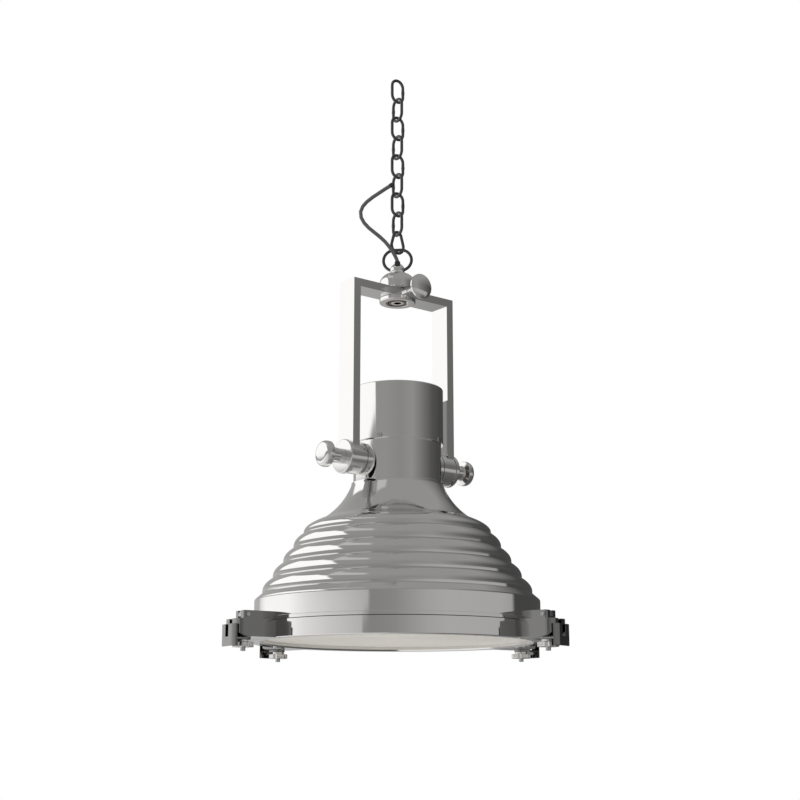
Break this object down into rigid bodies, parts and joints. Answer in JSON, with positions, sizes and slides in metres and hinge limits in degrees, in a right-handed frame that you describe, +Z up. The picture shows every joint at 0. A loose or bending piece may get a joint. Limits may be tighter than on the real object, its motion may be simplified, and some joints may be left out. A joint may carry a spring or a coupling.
{
  "type": "pendant light",
  "caption": "Ribbed bell-shaped pendant light on a chain: polished shade with a clamped lens bezel, tilting in a swivelling square yoke.",
  "frame": {"origin": "hook seat: the inside top of the first chain link", "axes": "+Z up along the chain, X along the yoke's trunnion axis, -Y to the thumbscrew's side"},
  "size_m": [0.4949, 0.4855, 0.8177],
  "materials": {
    "polished": "polished nickel",
    "dark_steel": "dark gunmetal",
    "steel": "plain steel",
    "brass": "plain brass",
    "cord_rubber": "satin dark grey",
    "gasket_rubber": "matt black",
    "fibre": "matt",
    "ceramic": "glazed white",
    "frosted_glass": "frosted",
    "bulb": "frosted"
  },
  "bodies": {
    "chain_1": {"chain_link_1": "dark_steel"},
    "chain_2": {"chain_link_2": "dark_steel"},
    "chain_3": {"chain_link_3": "dark_steel"},
    "chain_4": {"chain_link_4": "dark_steel"},
    "chain_5": {"chain_link_5": "dark_steel"},
    "chain_6": {"chain_link_6": "dark_steel"},
    "chain_7": {"chain_link_7": "dark_steel"},
    "chain_8": {"chain_link_8": "dark_steel"},
    "tapered": {"tapered_link": "dark_steel"},
    "ring": {"suspension_ring": "dark_steel"},
    "head": {"hanger_head": "polished", "cord_bush": "cord_rubber", "power_cord": "cord_rubber", "cord_sleeve": "cord_rubber", "swivel_washer": "steel", "retaining_collar": "polished", "stem_nut": "brass"},
    "yoke": {"yoke_frame": "polished", "yoke_wire": "cord_rubber", "friction_washers": "fibre", "flange_washers": "polished"},
    "thumbscrew": {"thumbscrew": "polished"},
    "lamp": {"trunnion_studs": "steel", "neck": "polished", "neck_cap": "polished", "cap_latches": "steel", "lampholder_bracket": "steel", "bracket_screws": "steel", "lampholder": "ceramic", "screw_shell": "brass", "centre_contact": "brass", "bulb_cap": "steel", "bulb_glass": "bulb", "terminal_block": "fibre", "neck_wire": "cord_rubber", "shade": "polished", "hinge_lugs": "polished", "lug_rivets": "steel", "pivot_pins": "steel", "gasket": "gasket_rubber", "lens": "frosted_glass", "bezel": "polished"},
    "knob_left": {"clamp_knob_left": "polished"},
    "knob_right": {"clamp_knob_right": "polished"},
    "bolt_1": {"swing_bolt_1": "polished"},
    "shoe_1": {"clamp_shoe_1": "polished"},
    "nut_1": {"thumb_nut_1": "polished"},
    "bolt_2": {"swing_bolt_2": "polished"},
    "shoe_2": {"clamp_shoe_2": "polished"},
    "nut_2": {"thumb_nut_2": "polished"},
    "bolt_3": {"swing_bolt_3": "polished"},
    "shoe_3": {"clamp_shoe_3": "polished"},
    "nut_3": {"thumb_nut_3": "polished"},
    "bolt_4": {"swing_bolt_4": "polished"},
    "shoe_4": {"clamp_shoe_4": "polished"},
    "nut_4": {"thumb_nut_4": "polished"}
  },
  "joints": [
    {"name": "link_2_swing", "type": "hinge", "parent": "chain_1", "child": "chain_2", "pos_m": [0, 0, -0.0312], "axis": [1, 0, 0], "range_deg": [-20, 20]},
    {"name": "link_3_swing", "type": "hinge", "parent": "chain_2", "child": "chain_3", "pos_m": [0, 0, -0.06005], "axis": [0, 1, 0], "range_deg": [-20, 20]},
    {"name": "link_4_swing", "type": "hinge", "parent": "chain_3", "child": "chain_4", "pos_m": [0, 0, -0.0889], "axis": [1, 0, 0], "range_deg": [-20, 20]},
    {"name": "link_5_swing", "type": "hinge", "parent": "chain_4", "child": "chain_5", "pos_m": [0, 0, -0.11775], "axis": [0, 1, 0], "range_deg": [-20, 20]},
    {"name": "link_6_swing", "type": "hinge", "parent": "chain_5", "child": "chain_6", "pos_m": [0, 0, -0.1466], "axis": [1, 0, 0], "range_deg": [-20, 20], "deforming": ["power_cord", "cord_sleeve"]},
    {"name": "link_7_swing", "type": "hinge", "parent": "chain_6", "child": "chain_7", "pos_m": [0, 0, -0.17545], "axis": [0, 1, 0], "range_deg": [-20, 20], "deforming": ["power_cord", "cord_sleeve"]},
    {"name": "link_8_swing", "type": "hinge", "parent": "chain_7", "child": "chain_8", "pos_m": [0, 0, -0.2043], "axis": [1, 0, 0], "range_deg": [-20, 20], "deforming": ["power_cord", "cord_sleeve"]},
    {"name": "tapered_link_swing", "type": "hinge", "parent": "chain_8", "child": "tapered", "pos_m": [0, 0, -0.23315], "axis": [0, 1, 0], "range_deg": [-20, 20], "deforming": ["power_cord", "cord_sleeve"]},
    {"name": "ring_swing", "type": "hinge", "parent": "tapered", "child": "ring", "pos_m": [0, 0, -0.2595], "axis": [1, 0, 0], "range_deg": [-15, 15], "deforming": ["power_cord", "cord_sleeve"]},
    {"name": "head_swing", "type": "hinge", "parent": "ring", "child": "head", "pos_m": [0, 0, -0.28525], "axis": [0.7071, -0.7071, 0], "range_deg": [-30, 30], "deforming": ["power_cord", "cord_sleeve"]},
    {"name": "yoke_swivel", "type": "hinge", "parent": "head", "child": "yoke", "pos_m": [0, 0, -0.32155], "axis": [0, 0, 1], "range_deg": [-170, 170]},
    {"name": "thumbscrew_turn", "type": "hinge", "parent": "yoke", "child": "thumbscrew", "pos_m": [0, -0.04, -0.32155], "axis": [0, -1, 0], "range_deg": [0, 360]},
    {"name": "lamp_tilt", "type": "hinge", "parent": "yoke", "child": "lamp", "pos_m": [0, 0, -0.55905], "axis": [1, 0, 0], "range_deg": [-90, 90]},
    {"name": "knob_left_turn", "type": "hinge", "parent": "lamp", "child": "knob_left", "pos_m": [-0.1, 0, -0.55905], "axis": [-1, 0, 0], "range_deg": [0, 360]},
    {"name": "knob_right_turn", "type": "hinge", "parent": "lamp", "child": "knob_right", "pos_m": [0.1, 0, -0.55905], "axis": [1, 0, 0], "range_deg": [0, 360]},
    {"name": "bolt_1_swing", "type": "hinge", "parent": "lamp", "child": "bolt_1", "pos_m": [-0.22431, 0.01765, -0.77005], "axis": [0.0785, 0.9969, 0], "range_deg": [0, 80]},
    {"name": "shoe_1_slide", "type": "slide", "parent": "bolt_1", "child": "shoe_1", "axis": [0, 0, -1], "range_m": [0, 0.003]},
    {"name": "nut_1_turn", "type": "hinge", "parent": "shoe_1", "child": "nut_1", "pos_m": [-0.22431, 0.01765, -0.80405], "axis": [0, 0, 1], "range_deg": [0, 864]},
    {"name": "bolt_2_swing", "type": "hinge", "parent": "lamp", "child": "bolt_2", "pos_m": [0.0639, -0.21573, -0.77005], "axis": [-0.9588, -0.284, 0], "range_deg": [0, 80]},
    {"name": "shoe_2_slide", "type": "slide", "parent": "bolt_2", "child": "shoe_2", "axis": [0, 0, -1], "range_m": [0, 0.003]},
    {"name": "nut_2_turn", "type": "hinge", "parent": "shoe_2", "child": "nut_2", "pos_m": [0.0639, -0.21573, -0.80405], "axis": [0, 0, 1], "range_deg": [0, 864]},
    {"name": "bolt_3_swing", "type": "hinge", "parent": "lamp", "child": "bolt_3", "pos_m": [0.22492, 0.00589, -0.77005], "axis": [0.0262, -0.9997, 0], "range_deg": [0, 80]},
    {"name": "shoe_3_slide", "type": "slide", "parent": "bolt_3", "child": "shoe_3", "axis": [0, 0, -1], "range_m": [0, 0.003]},
    {"name": "nut_3_turn", "type": "hinge", "parent": "shoe_3", "child": "nut_3", "pos_m": [0.22492, 0.00589, -0.80405], "axis": [0, 0, 1], "range_deg": [0, 864]},
    {"name": "bolt_4_swing", "type": "hinge", "parent": "lamp", "child": "bolt_4", "pos_m": [-0.041, 0.22123, -0.77005], "axis": [0.9833, 0.1822, 0], "range_deg": [0, 80]},
    {"name": "shoe_4_slide", "type": "slide", "parent": "bolt_4", "child": "shoe_4", "axis": [0, 0, -1], "range_m": [0, 0.003]},
    {"name": "nut_4_turn", "type": "hinge", "parent": "shoe_4", "child": "nut_4", "pos_m": [-0.041, 0.22123, -0.80405], "axis": [0, 0, 1], "range_deg": [0, 864]}
  ],
  "couplings": [
    {"joint": "nut_1_turn", "follows": "shoe_1_slide", "rad_per_m": 5026},
    {"joint": "nut_2_turn", "follows": "shoe_2_slide", "rad_per_m": 5026},
    {"joint": "nut_3_turn", "follows": "shoe_3_slide", "rad_per_m": 5026},
    {"joint": "nut_4_turn", "follows": "shoe_4_slide", "rad_per_m": 5026}
  ]
}
